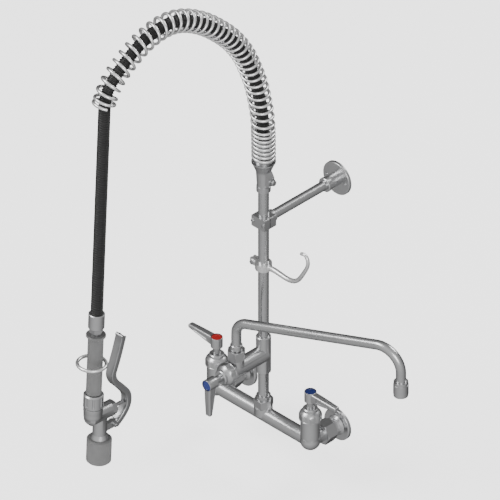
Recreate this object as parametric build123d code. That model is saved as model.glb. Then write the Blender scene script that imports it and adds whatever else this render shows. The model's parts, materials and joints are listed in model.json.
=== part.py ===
from build123d import *
import math
import os

# Wall-mounted pre-rinse faucet with an add-on faucet, in millimetres. The origin is midway between the two
# inlets, on their wall faces. +X runs along the wall, +Y into it and +Z up. Water comes in at the two inlets,
# meets in the crossbar, and rises to the add-on faucet, the hose and the spray valve.

# Driving sizes: the base
VALVE_CENTRES = 203.2
WALL_TO_BAR = 62.0
BAR_R = 12.25
BAR_BORE_R = 8.0
SOCKET_R = 10.0
SEAM_FROM_VALVE = 35.6
SOCKET_FLOOR = 18.0
BODY_R = 15.5
BODY_BALL_R = 16.0
BODY_HEIGHT = 40.0
BOSS_R = 15.0
BOSS_HEIGHT = 14.0
BOSS_THREAD_R = 12.0
BOSS_THREAD_TOP = 22.0
PORT_R = 4.0
BODY_GROOVE_FROM, BODY_GROOVE_TO, BODY_GROOVE = 6.6, 7.4, 0.4

# The inlets, as distances from the bar's axis towards the wall
NECK_THREAD_R = 14.5
NECK_END = 31.0
UNION_CORNERS = 39.0
UNION_FROM, UNION_TO = 22.0, 42.0
WASHER = 1.5
TAIL_COLLAR_R = 14.0
TAIL_COLLAR = 3.4
TAIL_SHANK_R = 11.4
TAIL_HEX_CORNERS = 32.0
TAIL_HEX_TO = 52.0
TAIL_CONE_FROM_R, TAIL_CONE_TO_R = 13.0, 17.0
FLANGE_R = 27.0
FLANGE, FLANGE_EDGE = 6.0, 2.0
INLET_THREAD_R = 9.13
INLET_THREAD_DEPTH = 18.0

# One valve's inner parts and handle, as heights above the seat face that its bonnet closes
CHAMBER_R = 12.0
CHAMBER_DEPTH = 28.0
SEAT_R, SEAT_BORE_R = 7.0, 4.5
SEAT_HEIGHT = 2.0
DISC_R = 6.8
DISC_LENGTH = 11.7
SHANK_LENGTH = 10.0
BONNET_R = 18.0
BONNET_HEIGHT = 17.0
BONNET_FLATS = 8
BONNET_DOME_R = 21.0
BONNET_RIM = 2.5
PACKING_R = 9.0
PACKING_FLOOR = 10.0
PACKING = 4.8
GLAND_R = 12.0
GLAND_HEIGHT = 5.0
STEM_R = 6.0
PIN_R, PIN_LENGTH = 4.0, 8.0
DRIVE_R = 4.8
HUB_FROM, HUB_TO = 34.0, 52.0
HUB_R = 9.5
BUTTON_R = 8.7
BUTTON_DEPTH = 3.1
SCREW_R, SCREW_HEAD_R, SCREW_HEAD = 2.35, 5.2, 3.2
SCREW_SOCKET_R, SCREW_SOCKET = 2.0, 1.8
LEVER_REACH = 58.0
# The lever's blade: (distance from the stem, width, depth, height of its middle, corner radius)
LEVER_SECTIONS = [(4, 13, 16.4, 43, 3), (30, 12, 12.4, 44.6, 3), (LEVER_REACH, 10, 6.4, 46.2, 2.4)]
LEVER_END_R = 1.8
LEVER_RECESS = [(17, 40.6), (27, 41.2), (46, 44.2), (46, 47.6), (27, 48.8), (17, 49.2)]
LEVER_RECESS_Y = 4.9

# The riser and the add-on faucet, heights above the bar's axis
RISER_R = 8.55
RISER_BORE_R = 6.25
RISER_NUT_CORNERS = 31.5
RISER_NUT_HEX_TOP = 28.0
RISER_NUT_TOP = 35.0
RISER_NUT_COLLAR_R = 11.25
RISER_COLLAR_R = 11.8
RISER_TOP = 490.0
TEE_FROM, TEE_TO = 79.0, 146.0
TEE_R = 11.75
TEE_SOCKET = 12.0
BARREL_Z = 112.7
BARREL_R = 13.75
BARREL_END = 72.0

# The swing nozzle
NOZZLE_OUT = 58.9
NOZZLE_R = 7.95
NOZZLE_BORE_R = 6.6
NOZZLE_REACH = 304.8
NOZZLE_SWING = 10.4
NOZZLE_RISE = 13.8
NOZZLE_ELBOW_Z = 199.3
NOZZLE_END_Z = 203.0
NEAR_BEND_R = 24.0
FAR_BEND_R = 36.0
NOZZLE_BOSS_R = 12.5
NOZZLE_SOCKET_Z = 126.0
NOZZLE_BOSS_Z = 133.0
NOZZLE_THREAD_Z = 139.0
NOZZLE_NUT_CORNERS = 30.0
NOZZLE_NUT_TOP = 149.0
NOZZLE_SHOULDER_R = 11.6
NOZZLE_SHOULDER = 2.0
SLEEVE_R = 9.7
SLEEVE_TOP = 159.0
SEAL_R = 6.6
SEAL, SEAL_FIT = 2.0, 0.02
AERATOR_R = 12.0
AERATOR_BORE_R = 10.0
AERATOR_FROM, AERATOR_TO = 187.0, 213.0
AERATOR_GRIP_SIDES = 30
JET_R, JET_DEPTH = 0.9, 6.0
JET_RINGS = [(6.6, 12), (3.2, 6)]

# The wall bracket, as distances from the riser's axis towards the wall
BRACKET_Z = 361.5
BRACKET_WALL = 162.0
CLAMP_SCREW_X = RISER_R + 2.85
CLAMP_WIDTH, CLAMP_HEIGHT = 2 * CLAMP_SCREW_X + 6.2, 20.4
CLAMP_FRONT, CLAMP_BACK = 12.0, 13.0
CLAMP_SPLIT = 1.2
CLAMP_SCREW_R = 2.0
CLAMP_CORNER_R = 2.0
CLAMP_HEAD = [(3, 0), (2.9, -1.6), (1.6, -2.4), (0, -2.5)]
CLAMP_SLOT = (0.9, 7, 1.4)
CLAMP_COLLAR_R = 10.0
CLAMP_COLLAR_END = 20.0
BRACKET_TUBE_R, BRACKET_TUBE_BORE_R = 7.75, 6.0
BRACKET_TUBE_FROM, BRACKET_TUBE_SHORT = 10.0, 6.0
BRACKET_HUB = 25.0
BRACKET_HUB_R = 10.75
BRACKET_RING_R = 12.0
BRACKET_RING = 6.0
BRACKET_FLANGE_R = 28.5
BRACKET_FLANGE = 5.5
BRACKET_HOLES = 40.0
BRACKET_HOLE_R = 2.75

# The finger hook
HOOK_Z = 277.5
HOOK_COLLAR_R = 13.2
HOOK_COLLAR = 11.0
HOOK_EAR, HOOK_EAR_THICK, HOOK_SLIT = 24.0, 11.0, 1.6
HOOK_BOLT_X = 18.5
HOOK_BOLT_R, HOOK_BOLT_CORNERS = 2.0, 8.0
HOOK_BOLT_HEAD, HOOK_BOLT_NUT = 3.0, 3.2
HOOK_ROOT_R, HOOK_TIP_R = 4.5, 2.75
# The middle line of the hook's rod, as (distance from the riser's axis, height above the collar's middle)
HOOK_LINE = [
    (10, 0), (40, 0.6), (60, 1.0), (71.5, 6.6), (80.4, 17.6), (90.4, 35), (95.6, 54.5), (91.3, 62.5), (82, 62),
]
HOOK_STEPS = 24

# The spring, its seat on the riser's top, and the hose inside it
SEAT_RING_FROM, SEAT_RING_TO = 418.0, 427.0
SEAT_RING_R = 11.25
SEAT_BODY_R = 12.0
SEAT_CONE_FROM, SEAT_CONE_TO, SEAT_TOP = 455.0, 470.0, 480.0
# The rib that the seat's bolt goes through, as (distance from the riser's axis, height)
SEAT_RIB = [(4, 427), (17.5, 435), (17.5, 447), (12, 456), (4, 456)]
SEAT_RIB_HALF, SEAT_RIB_END = 6.0, 17.5
SEAT_BOLT_Z, SEAT_BOLT_R, SEAT_BOLT_CORNERS = 441.0, 2.5, 9.5
SEAT_WASHER_R, SEAT_WASHER, SEAT_BOLT_HEAD = 6.2, 1.5, 4.5
SPRING_FROM = 473.0
SPRING_R = 19.0
WIRE_R = 2.5
CLOSE_PITCH, OPEN_PITCH = 7.5, 15.0
CLOSE_LENGTH = 60.0
CLOSED_END = 14.0
SPIGOT_R = 13.6
HOSE_R, HOSE_BORE_R = 9.75, 6.35
HOSE_FROM = 497.3
COUPLING_CORNERS = 24.0
COUPLING_FROM, COUPLING_HEX_TO, COUPLING_TO = 481.0, 493.0, 513.0
COUPLING_R = 11.5
BARB_R, BARB_BORE_R = 6.3, 4.5
# The route of the spring and hose from the riser's top, as (distance out from the wall, height) from the
# crossing of riser and bar. The last point is the spring's end, where the hose begins to hang.
ARCH = [
    (0.0, 530.6), (3.7, 566.9), (9.6, 596.2), (16.5, 626.0), (27.2, 655.0), (42.4, 691.8), (68.4, 731.2),
    (98.9, 763.6), (132.5, 793.5), (170.6, 817.1), (202.5, 827.2), (232.9, 826.6), (260.5, 819.3),
    (281.8, 808.9), (303.1, 795.6), (321.4, 781.1), (335.1, 764.2), (339.6, 745.3),
]

# The hanging hose and the spray valve, as heights below the spring's end along the hose
HANG_LEAN = 2.84
HANG = 377.8
PIVOT_BALL_R = 9.65
PIVOT_DROP = 5.0
FERRULE_R, FERRULE = 12.75, 26.0
FERRULE_FLOOR = 3.0
SWIVEL_CORNERS, SWIVEL = 22.0, 8.0
CORE_R, CORE_BORE_R = 8.0, 5.0
GRIP_FROM, GRIP_TO = 42.0, 146.0
GRIP_R = 12.25
GRIP_RING_R, GRIP_RING = 15.5, 4.0
LOWER_NUT_R, LOWER_NUT_TO = 15.85, 170.4
LOWER_NUT_GROOVES, LOWER_NUT_GROOVE_R = 8, 2.4
CUP_TO = 196.5
VALVE_DOWN = 189.5
VALVE_R, VALVE_BORE_R = 12.8, 8.0
VALVE_BACK, VALVE_FRONT = 14.0, 34.0
SPRAY_BONNET_CORNERS, SPRAY_BONNET = 26.0, 9.0
SPRAY_STEM_R = 3.0
SPRAY_DISC_R = 6.8
SPRAY_DISC_FROM, SPRAY_DISC_TO = 3.0, 7.7
SPRAY_SEAT = 2.5
OUTLET_Y = 16.0
OUTLET_R, OUTLET_BORE_R = 11.2, 5.0
CONE_FROM, BUMPER_FROM, BUMPER_TO = 226.4, 234.0, 276.0
BUMPER_R, BUMPER_BEVEL = 19.5, 2.0
SPRAY_CUP_R, CONE_R = 15.5, 14.0
SPRAY_WALL = 2.0
FACE_FROM, FACE_TO = 267.0, 271.0
FACE_HOLE_R = 1.4
FACE_HOLE_RINGS = [(11.5, 14), (7.6, 9), (3.6, 5)]
RETURN_WIRE_R, RETURN_R, RETURN_TURNS = 0.5, 4.6, 5
PIVOT_Y, PIVOT_DOWN = 44.2, 220.1
PIVOT_PIN_R = 2.5
EAR_R, EAR_THICK = 6.0, 7.4
LEVER_WIDTH, LEVER_THICK = 15.0, 4.4
LEVER_DEPTH, LEVER_FLANGE = 10.0, 3.2
# The squeeze lever's middle line, as (distance in front of the hose's axis, height down from its end)
LEVER_LINE = [
    (52.2, 63.6), (44.6, 92.0), (38.2, 111.4), (32.2, 127.5), (38.4, 143.3), (54.3, 159.5), (68.7, 177.0),
    (69.2, 195.0), (58.7, 209.3), (PIVOT_Y, PIVOT_DOWN),
]
HOLD_RING_R, HOLD_WIRE_R = 22.2, 2.8
HOLD_RING_DOWN, HOLD_RING_BACK = 89.3, 6.6

# Clearances
RUN = 0.05
FREE = 0.3

RISER = Pos(0, -WALL_TO_BAR, 0)
HOT = Pos(-VALVE_CENTRES / 2, -WALL_TO_BAR, 0)
COLD = Pos(VALVE_CENTRES / 2, -WALL_TO_BAR, 0)
TO_WALL = Rot(-90, 0, 0)
TO_USER = Rot(90, 0, 0)
UP_VALVE = Pos(0, 0, BODY_HEIGHT)
BARREL = RISER * Pos(0, 0, BARREL_Z) * TO_USER
NOZZLE = RISER * Pos(0, -NOZZLE_OUT, 0) * Rot(0, 0, NOZZLE_SWING)
BRACKET = RISER * Pos(0, 0, BRACKET_Z) * TO_WALL
SPRING_END = RISER * Pos(0, -ARCH[-1][0], ARCH[-1][1])
SPRAY = SPRING_END * Rot(-HANG_LEAN, 0, 0) * Pos(0, 0, -HANG)
SPRAY_VALVE = SPRAY * Pos(0, 0, -VALVE_DOWN) * TO_WALL
OUTLET = SPRAY * Pos(0, OUTLET_Y, 0)

nodes = {}


def rod(radius, low, high):
    """A round bar along Z."""
    return Pos(0, 0, low) * Cylinder(radius, high - low, align=(Align.CENTER, Align.CENTER, Align.MIN))


def pipe(radius, bore, low, high):
    """A round tube along Z."""
    return rod(radius, low, high) - rod(bore, low, high)


def turned(*outline):
    """The solid that a lathe would turn from an outline of (radius, height) points."""
    return revolve(Plane.XZ * make_face(Polyline(*outline, close=True)), Axis.Z)


def hexagon(corners, low, high):
    """A hexagonal bar along Z with its corners turned off at both ends."""
    prism = Pos(0, 0, low) * extrude(RegularPolygon(corners / 2, 6), high - low)
    return prism & bevelled(rod(corners / 2, low, high), corners * 0.05)


def eased(solid, height, radius):
    """The solid with the outermost round edge at that height filleted."""
    edges = solid.edges().filter_by(GeomType.CIRCLE).filter_by_position(Axis.Z, height - 0.01, height + 0.01)
    return fillet(edges.sort_by(SortBy.RADIUS)[-1], radius)


def bevelled(solid, size):
    """The round solid with its outermost round edges chamfered."""
    return chamfer(solid.edges().filter_by(GeomType.CIRCLE).group_by(SortBy.RADIUS)[-1], size)


def rounded_route(points):
    """Straight runs joined by arcs as large as the runs allow, and the arcs' radii."""
    points = [Vector(*p) for p in points]
    edges, radii, start = [], [], points[0]
    for before, corner, after in zip(points, points[1:], points[2:]):
        back, ahead = before - corner, after - corner
        half_turn = math.radians(180 - back.get_angle(ahead)) / 2
        cut = 0.45 * min(back.length, ahead.length)
        radius = cut / math.tan(half_turn)
        inward = (back.normalized() + ahead.normalized()).normalized()
        first, last = corner + back.normalized() * cut, corner + ahead.normalized() * cut
        middle = corner + inward * (radius / math.cos(half_turn) - radius)
        edges += [Line(start, first), ThreePointArc(first, middle, last)]
        radii.append(radius)
        start = last
    return Wire(edges + [Line(start, points[-1])]), radii


def swept(path, radius):
    """A round bar along a path."""
    return sweep(Plane(origin=path @ 0, z_dir=path % 0) * Circle(radius), path=path)


def crossbar():
    """The bar that joins both valves, with the boss that carries the riser."""
    along = Rot(0, 90, 0)
    half = VALVE_CENTRES / 2 - SEAM_FROM_VALVE
    spigot = VALVE_CENTRES / 2 - SOCKET_FLOOR - FREE
    boss = extrude(RegularPolygon(BOSS_R, 12), BOSS_HEIGHT) + rod(BOSS_THREAD_R, 0, BOSS_THREAD_TOP)
    bar = along * (rod(BAR_R, -half, half) + rod(SOCKET_R, -spigot, spigot)) + boss
    bar -= along * rod(BAR_BORE_R, -spigot, spigot)
    nodes["crossbar"] = RISER * (bar - rod(RISER_BORE_R, 0, BOSS_THREAD_TOP))


def valve_body(side):
    """A base valve's casting. side is +1 where the bar lies towards +X."""
    arm = Rot(0, 90 * side, 0)
    body = Sphere(BODY_BALL_R) + rod(BODY_R, 0, BODY_HEIGHT) + arm * rod(BAR_R, 0, SEAM_FROM_VALVE)
    body += TO_WALL * (rod(NECK_THREAD_R - 2, 0, NECK_END) + rod(NECK_THREAD_R, UNION_FROM, NECK_END))
    floor = BODY_HEIGHT - CHAMBER_DEPTH
    body -= rod(CHAMBER_R, floor, BODY_HEIGHT)
    body -= rod(SEAT_R, floor - SEAT_HEIGHT, floor)
    body -= rod(SEAT_BORE_R, 0, floor)
    body -= Sphere(BAR_BORE_R) + TO_WALL * rod(BAR_BORE_R, 0, NECK_END)
    body -= arm * rod(SOCKET_R, SOCKET_FLOOR, SEAM_FROM_VALVE)
    port_from, port_to = Vector(side * (SOCKET_FLOOR + 1), 0, 0), Vector(side * SEAT_R, 0, floor + 5)
    body -= swept(Line(port_from, port_to), PORT_R)
    return body - pipe(BODY_BALL_R, BODY_R - BODY_GROOVE, BODY_GROOVE_FROM, BODY_GROOVE_TO)


def inlet(place):
    """The union nut, washer and flanged tailpiece that join one valve to its supply pipe."""
    nut = hexagon(UNION_CORNERS, UNION_FROM, UNION_TO)
    collar_from = NECK_END + WASHER
    collar_to = collar_from + TAIL_COLLAR
    nut -= rod(NECK_THREAD_R, UNION_FROM, collar_to) + rod(TAIL_SHANK_R, collar_to, UNION_TO)
    washer = pipe(TAIL_COLLAR_R, BAR_BORE_R + 1, NECK_END, collar_from)
    flange_from = WALL_TO_BAR - FLANGE
    tail = rod(TAIL_COLLAR_R, collar_from, collar_to) + rod(TAIL_SHANK_R, collar_to, UNION_TO)
    tail += hexagon(TAIL_HEX_CORNERS, UNION_TO, TAIL_HEX_TO)
    tail += turned((0, TAIL_HEX_TO), (TAIL_CONE_FROM_R, TAIL_HEX_TO), (TAIL_CONE_TO_R, flange_from),
                   (0, flange_from))
    tail += eased(rod(FLANGE_R, flange_from, WALL_TO_BAR), flange_from, FLANGE_EDGE)
    tail -= rod(RISER_BORE_R, collar_from, WALL_TO_BAR)
    tail -= rod(INLET_THREAD_R, WALL_TO_BAR - INLET_THREAD_DEPTH, WALL_TO_BAR)
    return [place * TO_WALL * piece for piece in (nut, washer, tail)]


def bonnet():
    """The domed bonnet nut with its wrench flats, and a pocket for the packing."""
    head = extrude(RegularPolygon(BONNET_R, BONNET_FLATS), BONNET_HEIGHT) & Sphere(BONNET_DOME_R)
    blank = head + bevelled(rod(BONNET_R - 0.4, 0, BONNET_RIM), 0.6) + rod(CHAMBER_R, -SHANK_LENGTH, 0)
    blank -= rod(STEM_R + RUN, -SHANK_LENGTH, BONNET_HEIGHT)
    return blank - rod(PACKING_R, PACKING_FLOOR, BONNET_HEIGHT)


def gland():
    """The packing ring and the packing nut that squeezes it round the stem."""
    bore, top = STEM_R + RUN, PACKING_FLOOR + PACKING
    nut_top = BONNET_HEIGHT + GLAND_HEIGHT
    nut = turned((bore, top), (PACKING_R, top), (PACKING_R, BONNET_HEIGHT), (GLAND_R, BONNET_HEIGHT),
                 (GLAND_R, nut_top - 1.5), (GLAND_R - 1.5, nut_top), (bore, nut_top))
    return pipe(PACKING_R, bore, PACKING_FLOOR, top), nut


def stem():
    """The turning stem, and the screw that holds the handle on it."""
    drive_top, screw_top = HUB_TO - BUTTON_DEPTH - 5, HUB_TO - BUTTON_DEPTH - 0.7
    body = rod(STEM_R, -SHANK_LENGTH, HUB_FROM) + rod(DRIVE_R, HUB_FROM, drive_top)
    body += rod(PIN_R, -SHANK_LENGTH - PIN_LENGTH, -SHANK_LENGTH)
    body -= rod(SCREW_R, HUB_FROM - 4, drive_top)
    head_from = screw_top - SCREW_HEAD
    screw = rod(SCREW_R, HUB_FROM - 3, head_from) + rod(SCREW_HEAD_R, head_from, screw_top)
    screw -= Pos(0, 0, screw_top - SCREW_SOCKET) * extrude(RegularPolygon(SCREW_SOCKET_R, 6), SCREW_SOCKET)
    return Compound(children=[body, screw])


def seat_disc():
    """The sliding disc holder, which closes on the seat."""
    low = SEAT_HEIGHT - CHAMBER_DEPTH + FREE
    top = low + DISC_LENGTH
    outline = [(0, low), (DISC_R - 0.6, low), (DISC_R, low + 0.6), (DISC_R, low + 3), (DISC_R - 0.8, low + 3.4),
               (DISC_R - 0.8, low + 4), (DISC_R, low + 4.4), (DISC_R, top), (0, top)]
    return turned(*outline) - rod(PIN_R + RUN, top - 8.5, top)


def handle():
    """The lever handle, pointing along +X, with its hub over the stem."""
    blade = loft([Plane(origin=(out, 0, middle), x_dir=(0, 1, 0), z_dir=(1, 0, 0))
                  * RectangleRounded(width, depth, corner)
                  for out, width, depth, middle, corner in LEVER_SECTIONS])
    blade = fillet(blade.faces().sort_by(Axis.X)[-1].edges(), LEVER_END_R)
    recess = Plane.XZ * make_face(Polyline(*LEVER_RECESS, close=True))
    for side in (-1, 1):
        blade -= Pos(0, side * (LEVER_RECESS_Y + HUB_R / 2), 0) * extrude(recess, HUB_R / 2, both=True)
    hub = fillet(rod(HUB_R, HUB_FROM, HUB_TO).edges().filter_by(GeomType.CIRCLE), 0.6)
    pocket = HUB_TO - BUTTON_DEPTH
    hub = hub + blade
    return hub - rod(BUTTON_R, pocket, HUB_TO) - rod(SCREW_HEAD_R + 0.2, pocket - 5, pocket) - rod(
        DRIVE_R, HUB_FROM, HUB_TO)


def index_button():
    """The coloured disc that covers the handle's screw."""
    low, top = HUB_TO - BUTTON_DEPTH, HUB_TO - 1
    return turned((0, low), (BUTTON_R, low), (BUTTON_R, top - 0.8), (BUTTON_R - 0.6, top - 0.3),
                  (BUTTON_R / 2, top), (0, top))


def valve_set(name, place, turn):
    """One valve's moving parts and bonnet, on a seat face at place, with its lever turned to turn."""
    nodes[name + "_stem"] = place * stem()
    nodes[name + "_seat_disc"] = place * seat_disc()
    nodes[name + "_lever"] = place * Rot(0, 0, turn) * handle()
    nodes[name + "_index_button"] = place * index_button()
    packing, nut = gland()
    seat = pipe(SEAT_R, SEAT_BORE_R, -CHAMBER_DEPTH - SEAT_HEIGHT, -CHAMBER_DEPTH + SEAT_HEIGHT)
    return place * bonnet(), place * packing, place * nut, place * seat


def base():
    """The crossbar, both base valves and their inlets."""
    crossbar()
    nodes["hot_valve_body"] = HOT * valve_body(1)
    nodes["cold_valve_body"] = COLD * valve_body(-1)
    hot, cold = inlet(HOT), inlet(COLD)
    nodes["union_nuts"] = Compound(children=[hot[0], cold[0]])
    riser_washer = pipe(RISER_COLLAR_R, RISER_BORE_R, BOSS_THREAD_TOP, BOSS_THREAD_TOP + WASHER)
    nodes["union_washers"] = Compound(children=[hot[1], cold[1], RISER * riser_washer])
    nodes["hot_inlet_flange"], nodes["cold_inlet_flange"] = hot[2], cold[2]


def valves():
    """The working parts of all three faucets. Their bonnets, packings, packing nuts and seats are alike."""
    places = [("hot", HOT * UP_VALVE, 180), ("cold", COLD * UP_VALVE, 0),
              ("addon", BARREL * Pos(0, 0, BARREL_END), -90)]
    alike = zip(*[valve_set(*place) for place in places])
    for name, pieces in zip(("bonnets", "stem_packings", "packing_nuts", "valve_seats"), alike):
        nodes[name] = Compound(children=list(pieces))


def riser():
    """The riser in two lengths, with the union at its foot."""
    collar_from = BOSS_THREAD_TOP + WASHER
    collar_to = collar_from + 2
    nut = hexagon(RISER_NUT_CORNERS, BOSS_HEIGHT, RISER_NUT_HEX_TOP)
    nut += rod(RISER_NUT_COLLAR_R, RISER_NUT_HEX_TOP, RISER_NUT_TOP)
    nut -= rod(BOSS_THREAD_R, BOSS_HEIGHT, collar_to) + rod(RISER_R, collar_to, RISER_NUT_TOP)
    nodes["riser_nut"] = RISER * nut
    lower = pipe(RISER_R, RISER_BORE_R, collar_from, TEE_FROM + TEE_SOCKET)
    nodes["lower_riser"] = RISER * (lower + pipe(RISER_COLLAR_R, RISER_BORE_R, collar_from, collar_to))
    nodes["upper_riser"] = RISER * pipe(RISER_R, RISER_BORE_R, TEE_TO - TEE_SOCKET, RISER_TOP)


def addon_faucet():
    """The tee in the riser, its barrel towards the user, and the boss for the swing nozzle."""
    tee = bevelled(rod(TEE_R, TEE_FROM, TEE_TO), 1.2)
    to_barrel = Pos(0, 0, BARREL_Z) * TO_USER
    tee += to_barrel * rod(BARREL_R, 0, BARREL_END)
    at_nozzle = Pos(0, -NOZZLE_OUT, 0)
    tee += at_nozzle * (rod(NOZZLE_BOSS_R, BARREL_Z, NOZZLE_BOSS_Z)
                        + rod(BOSS_THREAD_R, NOZZLE_BOSS_Z, NOZZLE_THREAD_Z))
    chamber = BARREL_END - CHAMBER_DEPTH
    tee -= to_barrel * (rod(CHAMBER_R, chamber, BARREL_END) + rod(SEAT_R, chamber - SEAT_HEIGHT, chamber)
                        + rod(SEAT_BORE_R, 0, chamber))
    tee -= at_nozzle * (rod(PORT_R, BARREL_Z, NOZZLE_SOCKET_Z)
                        + rod(NOZZLE_R + RUN, NOZZLE_SOCKET_Z, NOZZLE_THREAD_Z))
    tee -= rod(RISER_R, TEE_FROM, TEE_FROM + TEE_SOCKET) + rod(RISER_R, TEE_TO - TEE_SOCKET, TEE_TO)
    nodes["addon_body"] = RISER * (tee - rod(RISER_BORE_R, TEE_FROM, TEE_TO))


def nozzle():
    """The swing nozzle with its seals, the nut that keeps it in, and the aerator on its end."""
    shoulder_from = NOZZLE_THREAD_Z + FREE
    shoulder_to = shoulder_from + NOZZLE_SHOULDER
    lip = shoulder_to + FREE
    nut = hexagon(NOZZLE_NUT_CORNERS, NOZZLE_BOSS_Z, NOZZLE_NUT_TOP)
    nut -= rod(BOSS_THREAD_R, NOZZLE_BOSS_Z, lip) + rod(NOZZLE_R + RUN, lip, NOZZLE_NUT_TOP)
    nodes["nozzle_nut"] = NOZZLE * nut
    foot = NOZZLE_SOCKET_Z + FREE
    far_z = NOZZLE_ELBOW_Z + NOZZLE_REACH * math.tan(math.radians(NOZZLE_RISE))
    path = FilletPolyline((0, 0, foot), (0, 0, NOZZLE_ELBOW_Z), (NOZZLE_REACH, 0, far_z),
                          (NOZZLE_REACH, 0, NOZZLE_END_Z), radius=[NEAR_BEND_R, FAR_BEND_R]).wire()
    tube = swept(path, NOZZLE_R) + rod(NOZZLE_SHOULDER_R, shoulder_from, shoulder_to)
    tube -= swept(path, NOZZLE_BORE_R)
    tube += pipe(NOZZLE_R, NOZZLE_BORE_R - 1, foot, shoulder_to)
    grooves = [foot + 2.8, foot + 2.8 + 2 * SEAL]
    for low in grooves:
        tube -= pipe(NOZZLE_R + 1, SEAL_R, low, low + SEAL)
    sleeve = pipe(SLEEVE_R, NOZZLE_R, NOZZLE_NUT_TOP + FREE, SLEEVE_TOP)
    nodes["nozzle"] = NOZZLE * (tube + bevelled(sleeve, 0.8))
    nodes["nozzle_seals"] = NOZZLE * Compound(
        children=[pipe(NOZZLE_R - SEAL_FIT, SEAL_R, low, low + SEAL) for low in grooves])
    aerator = NOZZLE * Pos(NOZZLE_REACH, 0, 0)
    grip_from, grip_to = AERATOR_FROM + 4, AERATOR_TO - 5
    shell = rod(AERATOR_R - 0.6, AERATOR_FROM, AERATOR_TO)
    shell += Pos(0, 0, grip_from) * extrude(
        RegularPolygon(AERATOR_R, AERATOR_GRIP_SIDES), grip_to - grip_from)
    shell -= rod(AERATOR_BORE_R, AERATOR_FROM, NOZZLE_END_Z) + rod(NOZZLE_R, NOZZLE_END_Z, AERATOR_TO)
    nodes["aerator_shell"] = aerator * shell
    insert = rod(AERATOR_BORE_R, AERATOR_FROM + 2, NOZZLE_END_Z) - rod(
        AERATOR_BORE_R - 1.2, AERATOR_FROM + 5, NOZZLE_END_Z)
    for ring_r, count in JET_RINGS:
        insert -= PolarLocations(ring_r, count) * rod(JET_R, AERATOR_FROM, AERATOR_FROM + JET_DEPTH)
    nodes["aerator_insert"] = aerator * insert


def wall_bracket():
    """The clamp round the riser, and the tube and flange that hold it off the wall."""
    split = CLAMP_SPLIT / 2
    at_screws = [Pos(x, 0, 0) for x in (-CLAMP_SCREW_X, CLAMP_SCREW_X)]
    riser_hole = TO_USER * rod(RISER_R, -CLAMP_HEIGHT, CLAMP_HEIGHT)

    def block(low, high):
        box = Pos(0, 0, (low + high) / 2) * Box(CLAMP_WIDTH, CLAMP_HEIGHT, high - low)
        return fillet(box.edges().filter_by(Axis.Z), CLAMP_CORNER_R) - riser_hole

    back = block(split, CLAMP_BACK) + rod(CLAMP_COLLAR_R, CLAMP_BACK, CLAMP_COLLAR_END)
    back -= rod(BRACKET_TUBE_R, BRACKET_TUBE_FROM, CLAMP_COLLAR_END)
    cap = block(-CLAMP_FRONT, -split)
    for place in at_screws:
        back -= place * rod(CLAMP_SCREW_R, split, CLAMP_BACK - 3)
        cap -= place * rod(CLAMP_SCREW_R, -CLAMP_FRONT, -split)
    nodes["bracket_clamp"], nodes["bracket_clamp_cap"] = BRACKET * back, BRACKET * cap
    head = turned((0, -CLAMP_FRONT), *[(radius, rise - CLAMP_FRONT) for radius, rise in CLAMP_HEAD])
    screw = head + rod(CLAMP_SCREW_R, -CLAMP_FRONT, CLAMP_BACK - 4)
    screw -= Pos(0, 0, -CLAMP_FRONT - 2) * Box(*CLAMP_SLOT)
    nodes["bracket_clamp_screws"] = BRACKET * Compound(children=[place * screw for place in at_screws])
    hub_from = BRACKET_WALL - BRACKET_HUB
    tube_to = BRACKET_WALL - BRACKET_FLANGE - BRACKET_TUBE_SHORT
    nodes["bracket_tube"] = BRACKET * pipe(BRACKET_TUBE_R, BRACKET_TUBE_BORE_R, BRACKET_TUBE_FROM, tube_to)
    ring = bevelled(rod(BRACKET_RING_R, hub_from - BRACKET_RING, hub_from), 1)
    flange_from = BRACKET_WALL - BRACKET_FLANGE
    flange = ring + rod(BRACKET_HUB_R, hub_from, flange_from)
    flange += eased(rod(BRACKET_FLANGE_R, flange_from, BRACKET_WALL), flange_from, 1.8)
    flange -= rod(BRACKET_TUBE_R, hub_from - BRACKET_RING, tube_to)
    for x in (-BRACKET_HOLES / 2, BRACKET_HOLES / 2):
        flange -= Pos(x, 0, 0) * rod(BRACKET_HOLE_R, flange_from, BRACKET_WALL)
    nodes["bracket_flange"] = BRACKET * flange


def finger_hook():
    """The hook on the riser that the spray valve's ring hangs from, cast in one with its split clamp."""
    half = HOOK_COLLAR / 2
    body = rod(HOOK_COLLAR_R, -half, half) + Pos(-HOOK_EAR / 2, 0, 0) * Box(
        HOOK_EAR, HOOK_EAR_THICK, HOOK_COLLAR)
    spine = Spline(*[(x, 0, z) for x, z in HOOK_LINE])
    sections = []
    for share in [step / HOOK_STEPS for step in range(HOOK_STEPS + 1)]:
        radius = HOOK_ROOT_R + (HOOK_TIP_R - HOOK_ROOT_R) * share
        sections.append(Plane(origin=spine @ share, x_dir=(0, 1, 0), z_dir=spine % share) * Circle(radius))
    body += loft(sections, ruled=True)
    body += Pos(*(spine @ 1)) * Sphere(HOOK_TIP_R)
    body -= rod(RISER_R, -half, half) + Pos(-HOOK_EAR / 2, 0, 0) * Box(
        HOOK_EAR, HOOK_SLIT, HOOK_COLLAR)
    cheek = HOOK_EAR_THICK / 2
    body -= Pos(-HOOK_BOLT_X, 0, 0) * TO_WALL * rod(HOOK_BOLT_R, -cheek, cheek)
    place = RISER * Pos(0, 0, HOOK_Z)
    nodes["finger_hook"] = place * body
    nut_to = cheek + HOOK_BOLT_NUT
    bolt = rod(HOOK_BOLT_R, -cheek, nut_to + 0.8) + hexagon(HOOK_BOLT_CORNERS, -cheek - HOOK_BOLT_HEAD, -cheek)
    nut = hexagon(HOOK_BOLT_CORNERS, cheek, nut_to) - rod(HOOK_BOLT_R, cheek, nut_to)
    across = place * Pos(-HOOK_BOLT_X, 0, 0) * TO_WALL
    return [across * bolt, across * nut]


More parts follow.
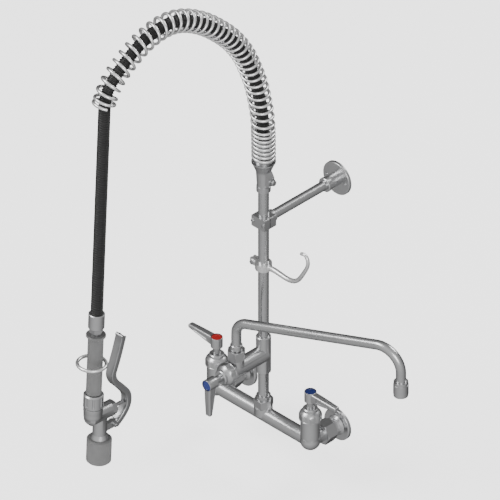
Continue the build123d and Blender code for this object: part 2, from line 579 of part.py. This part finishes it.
def spring_seat():
    """The fitting on the riser's top that carries the spring, with its set bolt and the hose's coupling."""
    body = turned((0, SEAT_RING_FROM), (SEAT_RING_R, SEAT_RING_FROM), (SEAT_RING_R, SEAT_RING_TO),
                  (SEAT_BODY_R - 1.6, SEAT_RING_TO), (SEAT_BODY_R, SEAT_CONE_FROM), (SPRING_R - 1, SEAT_CONE_TO),
                  (SPRING_R, SEAT_CONE_TO + 1), (SPRING_R, SPRING_FROM), (SPIGOT_R, SPRING_FROM),
                  (SPIGOT_R, SEAT_TOP), (0, SEAT_TOP))
    rib = Plane.XZ * make_face(Polyline(*SEAT_RIB, close=True))
    body += extrude(rib, SEAT_RIB_HALF, both=True)
    along = Pos(0, 0, SEAT_BOLT_Z) * Rot(0, 90, 0)
    body -= rod(RISER_R, SEAT_RING_FROM, SEAT_TOP) + along * rod(SEAT_BOLT_R, 0, SEAT_RIB_END + 0.5)
    nodes["spring_seat"] = RISER * body
    washer_to = SEAT_RIB_END + SEAT_WASHER
    bolt = rod(SEAT_BOLT_R, RISER_R, washer_to)
    bolt += hexagon(SEAT_BOLT_CORNERS, washer_to, washer_to + SEAT_BOLT_HEAD)
    washer = pipe(SEAT_WASHER_R, SEAT_BOLT_R, SEAT_RIB_END, washer_to)
    bolts = [RISER * along * bolt, RISER * along * washer]
    coupling = hexagon(COUPLING_CORNERS, COUPLING_FROM, COUPLING_HEX_TO) + rod(
        COUPLING_R, COUPLING_HEX_TO, COUPLING_TO)
    coupling -= rod(HOSE_R, HOSE_FROM, COUPLING_TO) + rod(RISER_R, COUPLING_FROM, RISER_TOP)
    coupling -= rod(BARB_BORE_R, COUPLING_FROM, HOSE_FROM)
    coupling += pipe(BARB_R, BARB_BORE_R, HOSE_FROM - 1, COUPLING_TO - 3)
    nodes["hose_coupling"] = RISER * coupling
    return bolts


def spring():
    """The overhead spring: one wire wound round the hose's route, close at its foot and open along the arch."""
    low = SPRING_FROM + WIRE_R + 0.6
    route, _ = rounded_route([(0, 0, low)] + [(0, -out, height) for out, height in ARCH])
    stops = [0.0]
    while stops[-1] < route.length:
        near_end = stops[-1] < CLOSE_LENGTH or route.length - stops[-1] < CLOSED_END
        stops.append(stops[-1] + (CLOSE_PITCH if near_end else OPEN_PITCH))
    share = 1 / stops[-1]
    steps = 8
    coil_r = (SPRING_R - WIRE_R) / math.cos(math.pi / steps)
    points = []
    for turn in range((len(stops) - 1) * steps + 1):
        whole, part = divmod(turn, steps)
        start, end = stops[whole], stops[min(whole + 1, len(stops) - 1)]
        at = min((start + (end - start) * part / steps) * share, 1)
        ahead = route % at
        angle = -2 * math.pi * part / steps
        across = Vector(0, -ahead.Z, ahead.Y) * math.cos(angle) + Vector(1, 0, 0) * math.sin(angle)
        points.append((route @ at) + across * coil_r)
    wire, _ = rounded_route(points)
    nodes["overhead_spring"] = RISER * swept(wire, WIRE_R)


def hose():
    """The hose in two lengths: through the spring, and hanging from its end with the spray valve."""
    route, radii = rounded_route([(0, 0, HOSE_FROM)] + [(0, -out, height) for out, height in ARCH])
    arch = swept(route, HOSE_R) - swept(route, HOSE_BORE_R)
    arch -= Pos(0, -ARCH[-1][0], ARCH[-1][1]) * Sphere(PIVOT_BALL_R + FREE)
    nodes["hose_arch"] = RISER * arch
    end = HANG + FERRULE - FERRULE_FLOOR
    drop = Sphere(PIVOT_BALL_R) + rod(HOSE_R, -end, -PIVOT_DROP) - rod(HOSE_BORE_R, -end, PIVOT_BALL_R)
    nodes["hose_drop"] = SPRING_END * Rot(-HANG_LEAN, 0, 0) * drop
    section = math.pi * HOSE_R ** 2
    print("hose arch radii", [round(r) for r in radii])
    print("hose arch length", round(route.length, 1), "volume ratio",
          round(swept(route, HOSE_R).volume / (section * route.length), 4), "drop length", round(end, 1))


def grip_and_fittings():
    """The hose's lower end fitting, the grip over the valve's shank, and the nut below it."""
    ferrule = turned((0, -FERRULE), (FERRULE_R - 1, -FERRULE), (FERRULE_R, -FERRULE + 1), (FERRULE_R, -1),
                     (FERRULE_R - 1, 0), (0, 0))
    ferrule -= rod(HOSE_R, -FERRULE + FERRULE_FLOOR, 0) + rod(BARB_BORE_R, -FERRULE, 0)
    ferrule += pipe(BARB_R, BARB_BORE_R, -FERRULE + 1, -6)
    nodes["hose_ferrule"] = SPRAY * ferrule
    swivel_to = FERRULE + SWIVEL
    swivel = hexagon(SWIVEL_CORNERS, -swivel_to, -FERRULE) - rod(CORE_BORE_R, -swivel_to, 0)
    nodes["swivel_nut"] = SPRAY * swivel
    grip = turned((CORE_R, -GRIP_TO), (GRIP_R - 1, -GRIP_TO), (GRIP_R, -GRIP_TO + 2), (GRIP_R, -GRIP_FROM - 3),
                  (GRIP_RING_R - 0.5, -GRIP_FROM), (GRIP_RING_R, -GRIP_FROM + 0.6),
                  (GRIP_RING_R, -GRIP_FROM + GRIP_RING - 0.8), (GRIP_RING_R - 0.8, -GRIP_FROM + GRIP_RING),
                  (CORE_R, -GRIP_FROM + GRIP_RING))
    nodes["grip"] = SPRAY * grip
    nut = turned((CORE_R, -LOWER_NUT_TO), (LOWER_NUT_R - 1.5, -LOWER_NUT_TO), (LOWER_NUT_R, -LOWER_NUT_TO + 1.5),
                 (LOWER_NUT_R, -GRIP_TO - 2), (LOWER_NUT_R - 2, -GRIP_TO), (CORE_R, -GRIP_TO))
    grooves = PolarLocations(LOWER_NUT_R + 1.2, LOWER_NUT_GROOVES) * rod(
        LOWER_NUT_GROOVE_R, -LOWER_NUT_TO + 5, -GRIP_TO - 3)
    nodes["lower_nut"] = SPRAY * (nut - grooves)


def spray_body():
    """The spray valve's casting: shank, valve chamber, outlet neck and the ear that the lever turns on."""
    swivel_to = FERRULE + SWIVEL
    body = rod(CORE_R, -VALVE_DOWN, -swivel_to)
    body += turned((0, -CUP_TO), (7, -CUP_TO), (12, -CUP_TO + 3.5), (14.6, -CUP_TO + 9), (15, -LOWER_NUT_TO - 8),
                   (LOWER_NUT_R - 0.6, -LOWER_NUT_TO - 7), (LOWER_NUT_R - 0.6, -LOWER_NUT_TO), (0, -LOWER_NUT_TO))
    to_front = Pos(0, 0, -VALVE_DOWN) * TO_WALL
    back = -VALVE_BACK + 2
    body += to_front * turned((0, back), (VALVE_R - 5, back), (VALVE_R, back + 5), (VALVE_R, VALVE_FRONT),
                              (0, VALVE_FRONT))
    at_outlet = Pos(0, OUTLET_Y, 0)
    body += at_outlet * rod(OUTLET_R, -CONE_FROM, -VALVE_DOWN)
    ear_middle = (OUTLET_Y + PIVOT_Y) / 2
    body += Pos(0, ear_middle, -PIVOT_DOWN) * Box(EAR_THICK, PIVOT_Y - OUTLET_Y, 2 * EAR_R)
    across = Pos(0, PIVOT_Y, -PIVOT_DOWN) * Rot(0, 90, 0)
    body += across * rod(EAR_R, -EAR_THICK / 2, EAR_THICK / 2)
    body -= across * rod(PIVOT_PIN_R + RUN, -EAR_THICK, EAR_THICK)
    body -= rod(CORE_BORE_R, -VALVE_DOWN, -swivel_to)
    body -= to_front * rod(VALVE_BORE_R, -VALVE_BACK + 5, VALVE_FRONT)
    body -= at_outlet * rod(OUTLET_BORE_R, -CONE_FROM, -VALVE_DOWN)
    nodes["spray_body"] = SPRAY * body


def spray_inside():
    """The spray valve's seat, spring, stem and bonnet, along its own axis towards the lever."""
    seat_from = SPRAY_DISC_TO + FREE
    seat = pipe(VALVE_BORE_R, SPRAY_STEM_R + 1.5, seat_from, seat_from + SPRAY_SEAT)
    nodes["spray_seat"] = SPRAY_VALVE * seat
    face = (LEVER_LINE[6][0] + LEVER_LINE[7][0] - LEVER_THICK) / 2 - FREE
    stem_body = rod(SPRAY_STEM_R, SPRAY_DISC_TO, face - SPRAY_STEM_R) + rod(
        SPRAY_DISC_R, SPRAY_DISC_FROM, SPRAY_DISC_TO)
    nodes["spray_stem"] = SPRAY_VALVE * (stem_body + Pos(0, 0, face - SPRAY_STEM_R) * Sphere(SPRAY_STEM_R))
    end = VALVE_FRONT + SPRAY_BONNET
    bonnet_body = hexagon(SPRAY_BONNET_CORNERS, VALVE_FRONT, end)
    bonnet_body += rod(VALVE_BORE_R, VALVE_FRONT - 8, VALVE_FRONT)
    nodes["spray_bonnet"] = SPRAY_VALVE * (bonnet_body - rod(SPRAY_STEM_R + RUN, VALVE_FRONT - 8, end))
    low, high = -VALVE_BACK + 5.6, SPRAY_DISC_FROM - 0.6
    coil = Helix((high - low) / RETURN_TURNS, high - low, RETURN_R, center=(0, 0, low))
    nodes["return_spring"] = SPRAY_VALVE * swept(coil, RETURN_WIRE_R)


def spray_head():
    """The spray head: cone, perforated face and rubber bumper."""
    wall_r = SPRAY_CUP_R - SPRAY_WALL
    shoulder = [(SPRAY_CUP_R, -BUMPER_FROM - 3), (CONE_R, -BUMPER_FROM - 1.5), (CONE_R, -BUMPER_FROM)]
    head = turned((0, -FACE_FROM), (SPRAY_CUP_R, -FACE_FROM), *shoulder, (OUTLET_R, -CONE_FROM),
                  (0, -CONE_FROM))
    head -= turned((0, -FACE_FROM), (wall_r, -FACE_FROM), (wall_r, -BUMPER_FROM - 4),
                   (OUTLET_BORE_R, -CONE_FROM - 3), (OUTLET_BORE_R, -CONE_FROM), (0, -CONE_FROM))
    nodes["spray_head"] = OUTLET * head
    face = rod(SPRAY_CUP_R, -FACE_TO, -FACE_FROM)
    for radius, count in FACE_HOLE_RINGS:
        face -= PolarLocations(radius, count) * rod(FACE_HOLE_R, -FACE_TO, -FACE_FROM)
    nodes["spray_face"] = OUTLET * face
    edge_r = BUMPER_R - BUMPER_BEVEL
    bumper = turned((SPRAY_CUP_R, -BUMPER_TO), (edge_r, -BUMPER_TO), (BUMPER_R, -BUMPER_TO + BUMPER_BEVEL),
                    (BUMPER_R, -BUMPER_FROM - BUMPER_BEVEL), (edge_r, -BUMPER_FROM), *reversed(shoulder))
    nodes["spray_bumper"] = OUTLET * bumper


def squeeze_lever():
    """The lever in front of the grip, its pivot pin, and the loose ring that holds it down."""
    path, _ = rounded_route([(0, y, -down) for y, down in LEVER_LINE])
    start = Plane(origin=path @ 0, x_dir=(1, 0, 0), z_dir=path % 0)
    outline = Pos(0, (LEVER_THICK - LEVER_DEPTH) / 2) * RectangleRounded(LEVER_WIDTH, LEVER_DEPTH, 1.6)
    trough = Pos(0, -LEVER_DEPTH) * Rectangle(LEVER_WIDTH - 2 * LEVER_FLANGE, 2 * LEVER_DEPTH - LEVER_THICK)
    blade = sweep(start * (outline - trough), path=path)
    across = Pos(0, PIVOT_Y, -PIVOT_DOWN) * Rot(0, 90, 0)
    blade += across * rod(LEVER_THICK, -LEVER_WIDTH / 2, LEVER_WIDTH / 2)
    slot = EAR_THICK / 2 + FREE
    blade -= across * (rod(EAR_R + 2, -slot, slot) + rod(PIVOT_PIN_R, -LEVER_WIDTH, LEVER_WIDTH))
    tip = Pos(0, LEVER_LINE[0][0], -LEVER_LINE[0][1]) * Rot(0, 90, 0)
    nodes["spray_lever"] = SPRAY * (blade + tip * rod(LEVER_THICK / 2 + 0.6, -LEVER_WIDTH / 2, LEVER_WIDTH / 2))
    pin = bevelled(rod(PIVOT_PIN_R, -LEVER_WIDTH / 2 - 1.2, LEVER_WIDTH / 2 + 1.2), 0.5)
    nodes["lever_pin"] = SPRAY * across * pin
    nodes["hold_down_ring"] = SPRAY * Pos(0, -HOLD_RING_BACK, -HOLD_RING_DOWN) * Torus(HOLD_RING_R, HOLD_WIRE_R)


for make in (base, valves, riser, addon_faucet, nozzle, wall_bracket, spring, hose, grip_and_fittings,
             spray_body, spray_inside, spray_head, squeeze_lever):
    make()
nodes["clamp_bolts"] = Compound(children=finger_hook() + spring_seat())

os.makedirs("parts", exist_ok=True)
for name, solid in nodes.items():
    export_step(solid, os.path.join("parts", name + ".step"))
print(len(nodes), "nodes")
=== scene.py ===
import bmesh
import bpy
import json
import math
from mathutils import Matrix, Vector

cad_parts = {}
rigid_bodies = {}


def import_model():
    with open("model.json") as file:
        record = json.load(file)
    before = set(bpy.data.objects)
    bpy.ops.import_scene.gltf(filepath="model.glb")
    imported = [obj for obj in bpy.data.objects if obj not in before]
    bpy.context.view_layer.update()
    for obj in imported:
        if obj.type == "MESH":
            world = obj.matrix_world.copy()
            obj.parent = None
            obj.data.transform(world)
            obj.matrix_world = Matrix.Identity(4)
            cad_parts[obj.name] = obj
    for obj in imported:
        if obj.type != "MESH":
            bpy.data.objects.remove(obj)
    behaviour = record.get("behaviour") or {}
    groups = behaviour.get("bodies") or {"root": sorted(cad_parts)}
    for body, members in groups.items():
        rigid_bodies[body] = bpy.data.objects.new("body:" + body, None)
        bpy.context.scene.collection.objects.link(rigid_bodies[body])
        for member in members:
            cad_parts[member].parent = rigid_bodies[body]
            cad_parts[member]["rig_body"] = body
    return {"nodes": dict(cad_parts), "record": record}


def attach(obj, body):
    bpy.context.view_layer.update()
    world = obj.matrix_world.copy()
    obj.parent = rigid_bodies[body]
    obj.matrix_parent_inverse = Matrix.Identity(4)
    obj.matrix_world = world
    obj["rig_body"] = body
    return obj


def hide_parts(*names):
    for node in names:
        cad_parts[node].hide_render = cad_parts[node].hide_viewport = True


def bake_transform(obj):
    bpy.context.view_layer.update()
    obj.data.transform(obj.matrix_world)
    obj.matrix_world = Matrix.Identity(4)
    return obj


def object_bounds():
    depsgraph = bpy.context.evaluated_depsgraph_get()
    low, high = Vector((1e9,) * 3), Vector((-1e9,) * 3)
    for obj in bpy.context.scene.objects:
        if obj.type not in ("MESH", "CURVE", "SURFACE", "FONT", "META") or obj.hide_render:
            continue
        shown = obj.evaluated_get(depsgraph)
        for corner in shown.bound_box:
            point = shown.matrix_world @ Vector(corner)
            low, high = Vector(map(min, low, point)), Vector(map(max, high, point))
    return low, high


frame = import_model()
cad_box = [list(corner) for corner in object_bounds()]
mm = 0.001

# The studio: a pale floor below the faucet, which hangs on a wall that isn't shown, and a soft
# surround. The camera looks down from the user's right, from far away, so lines stay nearly parallel.
VIEW_WIDTH = 768 * mm
LENS, SENSOR = 1700, 36
NEAREST, FURTHEST = 1, 400
RISER_Y = -62 * mm
ACROSS = Vector((1, 1, 0)).normalized()
TO_CAMERA = Vector((1, -1, 1)).normalized()
UP = TO_CAMERA.cross(ACROSS)
AIM_LEFT, AIM_UP = 20.7 * mm, 249.7 * mm
AIM = Vector((0, RISER_Y, 0)) - AIM_LEFT * ACROSS + AIM_UP * UP
FLOOR_GAP, FLOOR_REACH = 60 * mm, 60
FRONT = Vector((0.5, -0.8, 0.33)).normalized()
DOME = 1.0
PAPER_GLOW = 1.7
LAMP_AIM = Vector((0, -0.2, 0.4))
LAMPS = (
    ("key", (-1.6, -2.4, 3.2), 1.8, 95),
    ("fill", (2.6, -1.8, 1.6), 1.4, 38),
    ("rim", (0.4, 2.4, 2.2), 1.2, 40),
)

lens = bpy.data.cameras.new("camera")
lens.lens, lens.sensor_width = LENS, SENSOR
distance = VIEW_WIDTH * LENS / SENSOR
lens.clip_start, lens.clip_end = NEAREST, FURTHEST
camera = bpy.data.objects.new("camera", lens)
camera.matrix_world = Matrix.Translation(AIM + TO_CAMERA * distance) @ Matrix(
    (ACROSS, UP, TO_CAMERA)).transposed().to_4x4()
bpy.context.scene.collection.objects.link(camera)
bpy.context.scene.camera = camera


class Value:
    """A number that changes over a surface. Sums written with it become Math nodes."""

    def __init__(self, tree, socket):
        self.tree, self.socket = tree, socket

    def join(self, operation, *terms):
        node = self.tree.nodes.new("ShaderNodeMath")
        node.operation = operation
        for slot, term in zip(node.inputs, terms):
            if isinstance(term, Value):
                self.tree.links.new(term.socket, slot)
            else:
                slot.default_value = term
        return Value(self.tree, node.outputs[0])

    def __add__(self, other):
        return self.join("ADD", self, other)

    def __radd__(self, other):
        return self.join("ADD", other, self)

    def __sub__(self, other):
        return self.join("SUBTRACT", self, other)

    def __rsub__(self, other):
        return self.join("SUBTRACT", other, self)

    def __mul__(self, other):
        return self.join("MULTIPLY", self, other)

    def __rmul__(self, other):
        return self.join("MULTIPLY", other, self)

    def above(self, low, high):
        """0 below low, 1 above high and even between them."""
        node = self.tree.nodes.new("ShaderNodeMapRange")
        node.inputs["From Min"].default_value = low
        node.inputs["From Max"].default_value = high
        self.tree.links.new(self.socket, node.inputs["Value"])
        return Value(self.tree, node.outputs["Result"])


class Finish:
    """A surface finish. Its nodes read the piece's own place in metres."""

    def __init__(self, name, tree=None):
        if tree is None:
            self.material = bpy.data.materials.new(name)
            self.material.use_nodes = True
            tree = self.material.node_tree
            self.skin = tree.nodes["Principled BSDF"]
        self.tree = tree

    def node(self, kind, settings=(), **sockets):
        node = self.tree.nodes.new("ShaderNode" + kind)
        for key, value in dict(settings).items():
            setattr(node, key, value)
        for key, value in sockets.items():
            self.put(node.inputs[key.replace("_", " ")], value)
        return node

    def put(self, slot, value):
        if isinstance(value, Value):
            value = value.socket
        if isinstance(value, bpy.types.NodeSocket):
            self.tree.links.new(value, slot)
        else:
            slot.default_value = value

    def place(self):
        return self.node("TexCoord").outputs["Object"]

    def noise(self, scale, detail=3, stretch=(1, 1, 1)):
        at = self.node("Mapping", Vector=self.place(), Scale=stretch).outputs[0]
        grains = self.node("TexNoise", Vector=at, Scale=scale, Detail=detail)
        return Value(self.tree, grains.outputs[0])

    def spots(self, scale):
        cells = self.node("TexVoronoi", Vector=self.place(), Scale=scale)
        return Value(self.tree, cells.outputs["Distance"])

    def mix(self, share, first, second):
        node = self.node("Mix", {"data_type": "RGBA"}, Factor=share)
        for slot, colour in zip((node.inputs[6], node.inputs[7]), (first, second)):
            self.put(slot, colour)
        return node.outputs[2]

    def wear(self, **sockets):
        for key, value in sockets.items():
            self.put(self.skin.inputs[key.replace("_", " ")], value)

    def relief(self, height, depth):
        bump = self.node("Bump", Height=height, Distance=depth)
        self.put(self.skin.inputs["Normal"], bump.outputs["Normal"])


def grey(level, tint=(1, 1, 1)):
    return tuple(level * part for part in tint) + (1,)


paper = Finish("paper_floor")
paper.wear(Base_Color=paper.mix(paper.noise(3), grey(0.92), grey(0.95)), Roughness=0.95)
paper.skin.inputs["Emission Color"].default_value = grey(1)
paper.skin.inputs["Emission Strength"].default_value = PAPER_GLOW
floor_mesh = bpy.data.meshes.new("floor")
shape = bmesh.new()
bmesh.ops.create_grid(shape, x_segments=1, y_segments=1, size=FLOOR_REACH)
bmesh.ops.translate(shape, verts=shape.verts, vec=(0, 0, cad_box[0][2] - FLOOR_GAP))
shape.to_mesh(floor_mesh)
floor = bpy.data.objects.new("floor", floor_mesh)
floor_mesh.materials.append(paper.material)
bpy.context.scene.collection.objects.link(floor)
floor.visible_glossy = False

world = bpy.data.worlds.new("studio")
world.use_nodes = True
bpy.context.scene.world = world
sky = Finish("sky", world.node_tree)
direction = sky.node("TexCoord").outputs["Generated"]
towards = sky.node("VectorMath", {"operation": "DOT_PRODUCT"}, Vector=direction)
towards.inputs[1].default_value = FRONT
shade = Value(sky.tree, towards.outputs["Value"]).above(-0.75, 0.95)
dome = world.node_tree.nodes["Background"]
sky.put(dome.inputs["Color"], sky.mix(shade, grey(0.10), grey(1.0)))
dome.inputs["Strength"].default_value = DOME

for name, place, size, power in LAMPS:
    lamp = bpy.data.lights.new(name, "AREA")
    lamp.size, lamp.energy = size, power
    light = bpy.data.objects.new(name, lamp)
    light.location = place
    light.rotation_euler = (LAMP_AIM - Vector(place)).to_track_quat("-Z", "Y").to_euler()
    bpy.context.scene.collection.objects.link(light)


# The hose: a reinforced rubber hose with a black ribbed cover. It is crimped to the coupling on the
# riser's top, runs up through the spring, and hangs from the spring's end into the spray valve's ferrule.
HOSE_D, HOSE_BORE = 19.5 * mm, 12.7 * mm
HOSE_SIDES = 24
RIB_PITCH, RIB_DEPTH = 4.2 * mm, 1.1 * mm
RIB_PROFILE = ((0.14, 1), (0.32, 0.1), (0.5, 0), (0.68, 0.1), (0.86, 1))
HANG_LEAN = math.radians(2.84)
HANG_LENGTH = 400.8 * mm
CORNER_GAP = 19.4 * mm
LINE_STEPS = 16
SHARP = math.radians(38)
MERGE = 1e-6
ARCH = [
    (0.0, 530.6), (3.7, 566.9), (9.6, 596.2), (16.5, 626.0), (27.2, 655.0), (42.4, 691.8), (68.4, 731.2),
    (98.9, 763.6), (132.5, 793.5), (170.6, 817.1), (202.5, 827.2), (232.9, 826.6), (260.5, 819.3),
    (281.8, 808.9), (303.1, 795.6), (321.4, 781.1), (335.1, 764.2), (339.6, 745.3),
]
arch = [Vector((0, RISER_Y - out * mm, height * mm)) for out, height in ARCH]
hang = Vector((0, -math.sin(HANG_LEAN), -math.cos(HANG_LEAN)))
spring_end = arch[-1]
hose_from = Vector((0, RISER_Y, 497.3 * mm))
near_corner = spring_end + hang * CORNER_GAP
route = [hose_from, *arch, near_corner, spring_end + hang * HANG_LENGTH]


def line_through(name, points):
    """A smooth line with these control points, and the points along it."""
    data = bpy.data.curves.new(name, "CURVE")
    data.dimensions, data.resolution_u = "3D", LINE_STEPS
    spline = data.splines.new("NURBS")
    spline.points.add(len(points) - 1)
    for knot, point in zip(spline.points, points):
        knot.co = (*point, 1)
    spline.order_u = 3
    spline.use_endpoint_u = True
    line = bpy.data.objects.new(name, data)
    bpy.context.scene.collection.objects.link(line)
    bare = bpy.data.meshes.new_from_object(line)
    along = [vertex.co.copy() for vertex in bare.vertices]
    bpy.data.meshes.remove(bare)
    return line, along


def length_of(points):
    return sum((b - a).length for a, b in zip(points, points[1:]))


def piece(name, shape, finish):
    """An object from a bmesh, smooth but for its sharp edges."""
    for face in shape.faces:
        face.smooth = True
    for edge in shape.edges:
        edge.smooth = len(edge.link_faces) == 2 and edge.calc_face_angle(0) < SHARP
    mesh = bpy.data.meshes.new(name)
    shape.to_mesh(mesh)
    shape.free()
    thing = bpy.data.objects.new(name, mesh)
    bpy.context.scene.collection.objects.link(thing)
    mesh.materials.append(finish.material)
    return thing


def bent(thing, line):
    """Bends a piece that stands on the Z axis along a line, for good."""
    bend = thing.modifiers.new("bend", "CURVE")
    bend.object, bend.deform_axis = line, "POS_Z"
    evaluated = thing.evaluated_get(bpy.context.evaluated_depsgraph_get())
    done = bpy.data.meshes.new_from_object(evaluated)
    thing.modifiers.clear()
    thing.data = done
    return thing


def spun(shape, outline, steps):
    """Turns an outline of (radius, height) points once round Z."""
    dots = [shape.verts.new((radius, 0, height)) for radius, height in outline]
    edges = [shape.edges.new(pair) for pair in zip(dots, dots[1:])]
    bmesh.ops.spin(shape, geom=dots + edges, cent=(0, 0, 0), axis=(0, 0, 1), angle=2 * math.pi,
                   steps=steps, use_merge=True)
    bmesh.ops.remove_doubles(shape, verts=shape.verts, dist=MERGE)
    bmesh.ops.recalc_face_normals(shape, faces=shape.faces)


hose_line, hose_points = line_through("hose_line", route)
hose_length = length_of(hose_points)
ribs = round(hose_length / RIB_PITCH)
pitch = hose_length / ribs
outer, groove = HOSE_D / 2, HOSE_D / 2 - RIB_DEPTH
outline = [(HOSE_BORE / 2, 0), (groove, 0)]
for rib in range(ribs):
    low = rib * pitch
    outline += [(outer - sunk * RIB_DEPTH, low + along * pitch) for along, sunk in RIB_PROFILE]
outline += [(groove, hose_length), (HOSE_BORE / 2, hose_length)]
hose_rubber = Finish("black_hose_cover")
dust = hose_rubber.noise(60, 5)
hose_rubber.wear(Base_Color=hose_rubber.mix(dust, grey(0.003), grey(0.010)), Roughness=0.42 + dust * 0.22)
hose_rubber.relief(hose_rubber.noise(1500, 2), 0.00006)
shape = bmesh.new()
spun(shape, outline, HOSE_SIDES)
hose = bent(piece("spray_hose", shape, hose_rubber), hose_line)
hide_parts("hose_arch", "hose_drop")
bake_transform(hose)


# The overhead spring: one length of bright stainless wire, wound close at its foot, where it grips the
# seat on the riser, and open along the arch, with its last turns closed and its end cut square.
WIRE_D, SPRING_D = 5 * mm, 38 * mm
SPRING_FOOT, FOOT_GAP = 473 * mm, 0.6 * mm
CLOSE_PITCH, OPEN_PITCH = 7.5 * mm, 15 * mm
CLOSE_TURNS, END_TURNS = 8, 1.5
TURN_STEPS, WIRE_SIDES = 28, 12
COIL_END = [(334.0, 765.0), (342.4, 743.6)]

spring_from = Vector((0, RISER_Y, SPRING_FOOT + WIRE_D / 2 + FOOT_GAP))
coil_end = [Vector((0, RISER_Y - out * mm, height * mm)) for out, height in COIL_END]
spring_line, spring_points = line_through("spring_line", [spring_from, *arch[:-2], *coil_end])
spring_length = length_of(spring_points)
steel = Finish("bright_spring_wire")
draw = steel.noise(900, 3)
steel.wear(Base_Color=steel.mix(draw, grey(0.80), grey(0.92)), Metallic=1.0, Roughness=0.26 + draw * 0.14)
steel.relief(steel.noise(2600, 2), 0.00002)
open_turns = (spring_length - (CLOSE_TURNS + END_TURNS) * CLOSE_PITCH) / OPEN_PITCH
shape = bmesh.new()
bmesh.ops.create_circle(shape, cap_ends=True, segments=WIRE_SIDES, radius=WIRE_D / 2)
bmesh.ops.rotate(shape, verts=shape.verts, matrix=Matrix.Rotation(math.pi / 2, 3, "X"))
bmesh.ops.translate(shape, verts=shape.verts, vec=((SPRING_D - WIRE_D) / 2, 0, 0))
for turns, rise in ((CLOSE_TURNS, CLOSE_PITCH), (open_turns, OPEN_PITCH), (END_TURNS, CLOSE_PITCH)):
    steps = round(turns * TURN_STEPS)
    ends = [face for face in shape.faces if len(face.verts) > 4][-1:]
    bmesh.ops.spin(shape, geom=ends, cent=(0, 0, 0), axis=(0, 0, 1), dvec=(0, 0, turns * rise / steps),
                   angle=-2 * math.pi * turns, steps=steps)
bmesh.ops.recalc_face_normals(shape, faces=shape.faces)
spring = bent(piece("overhead_spring_coil", shape, steel), spring_line)
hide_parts("overhead_spring")
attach(spring, "base")
for line in (hose_line, spring_line):
    bpy.data.objects.remove(line)


# The plated and turned pieces. Each keeps its made shape, with its facets merged into smooth faces, and
# takes the finish of its own metal or rubber.
def plated(name, level, rough, grain, depth, stretch=(1, 1, 1)):
    """Chrome plate or steel: faint clouding, water spots that dried dull, and the grain left by polishing."""
    metal = Finish(name)
    cloud, fine = metal.noise(38, 4), metal.noise(grain, 3, stretch)
    dried = (1 - metal.spots(160).above(0.2, 0.4)) * metal.noise(25).above(0.55, 0.7)
    metal.wear(Base_Color=metal.mix(cloud, grey(level, (0.99, 1, 1.01)), grey(level * 1.12, (1, 1, 1.01))),
               Metallic=1.0, Roughness=rough + fine * 0.05 + dried * 0.05)
    metal.relief(fine, depth)
    return metal


def moulded(name, dark, light, rough, grain=900, depth=0.00005):
    """Rubber or plastic from a mould, with a fine texture and a little unevenness of colour."""
    plastic = Finish(name)
    cloud = plastic.noise(70, 4)
    plastic.wear(Base_Color=plastic.mix(cloud, dark, light), Roughness=rough + cloud * 0.12)
    plastic.relief(plastic.noise(grain, 2), depth)
    return plastic


finishes = {
    "cast_chrome": plated("cast_chrome", 0.46, 0.27, 420, 0.00002),
    "polished_tube": plated("polished_tube", 0.44, 0.24, 300, 0.00001),
    "stainless": plated("turned_stainless", 0.40, 0.27, 1400, 0.00002),
    "spring_wire": steel,
    "brass": plated("turned_brass", 0.36, 0.28, 900, 0.00003),
    "black_rubber": moulded("black_rubber", grey(0.012), grey(0.03), 0.5),
    "bumper_rubber": moulded("grey_rubber", grey(0.085), grey(0.12), 0.5),
    "grip_plastic": moulded("grip_sleeve", grey(0.085), grey(0.115), 0.38),
    "red_index": moulded(
        "red_index", (0.30, 0.006, 0.006, 1), (0.40, 0.010, 0.009, 1), 0.22, 300, 0.00002),
    "blue_index": moulded(
        "blue_index", (0.006, 0.014, 0.09, 1), (0.010, 0.022, 0.14, 1), 0.22, 300, 0.00002),
    "black_hose": hose_rubber,
}
slots = {part["node"]: part["material_slot"] for part in frame["record"]["subparts"]}
for node, made in frame["nodes"].items():
    if node in ("hose_arch", "hose_drop", "overhead_spring"):
        continue
    shape = bmesh.new()
    shape.from_mesh(made.data)
    bmesh.ops.remove_doubles(shape, verts=shape.verts, dist=MERGE)
    copy = piece(node + "_finished", shape, finishes[slots[node]])
    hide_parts(node)
    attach(copy, made["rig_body"])
